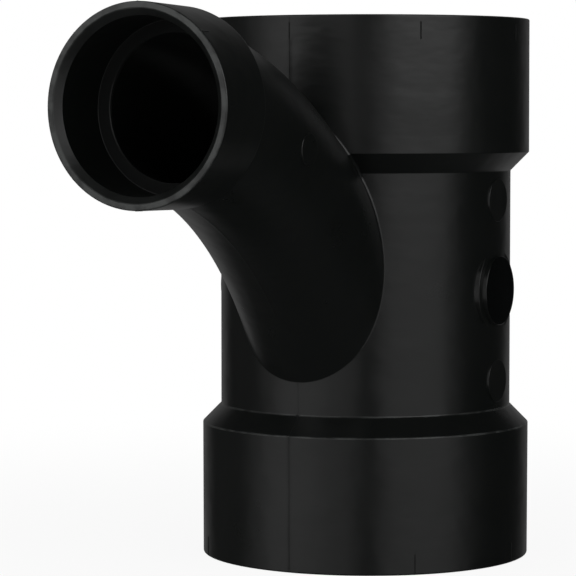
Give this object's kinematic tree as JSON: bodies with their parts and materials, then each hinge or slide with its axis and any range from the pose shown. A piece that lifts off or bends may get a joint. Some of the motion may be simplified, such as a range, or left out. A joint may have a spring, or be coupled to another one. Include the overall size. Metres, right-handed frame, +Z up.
{
  "type": "reducing long turn wye",
  "caption": "Moulded ABS drain fitting: straight run with a socket at each end and a smaller long-turn branch socket swept out of its side.",
  "frame": {"origin": "centre of the run's bottom mouth, on the face that the fitting stands on", "axes": "+Z up along the run's axis to the top socket, -Y towards the branch, +X to the right seen from the branch"},
  "size_m": [0.1264, 0.2359, 0.2077],
  "materials": {
    "abs": "black ABS as it leaves the mould, satin, with soft broad highlights"
  },
  "bodies": {
    "root": {"wye_body": "abs"}
  },
  "joints": []
}
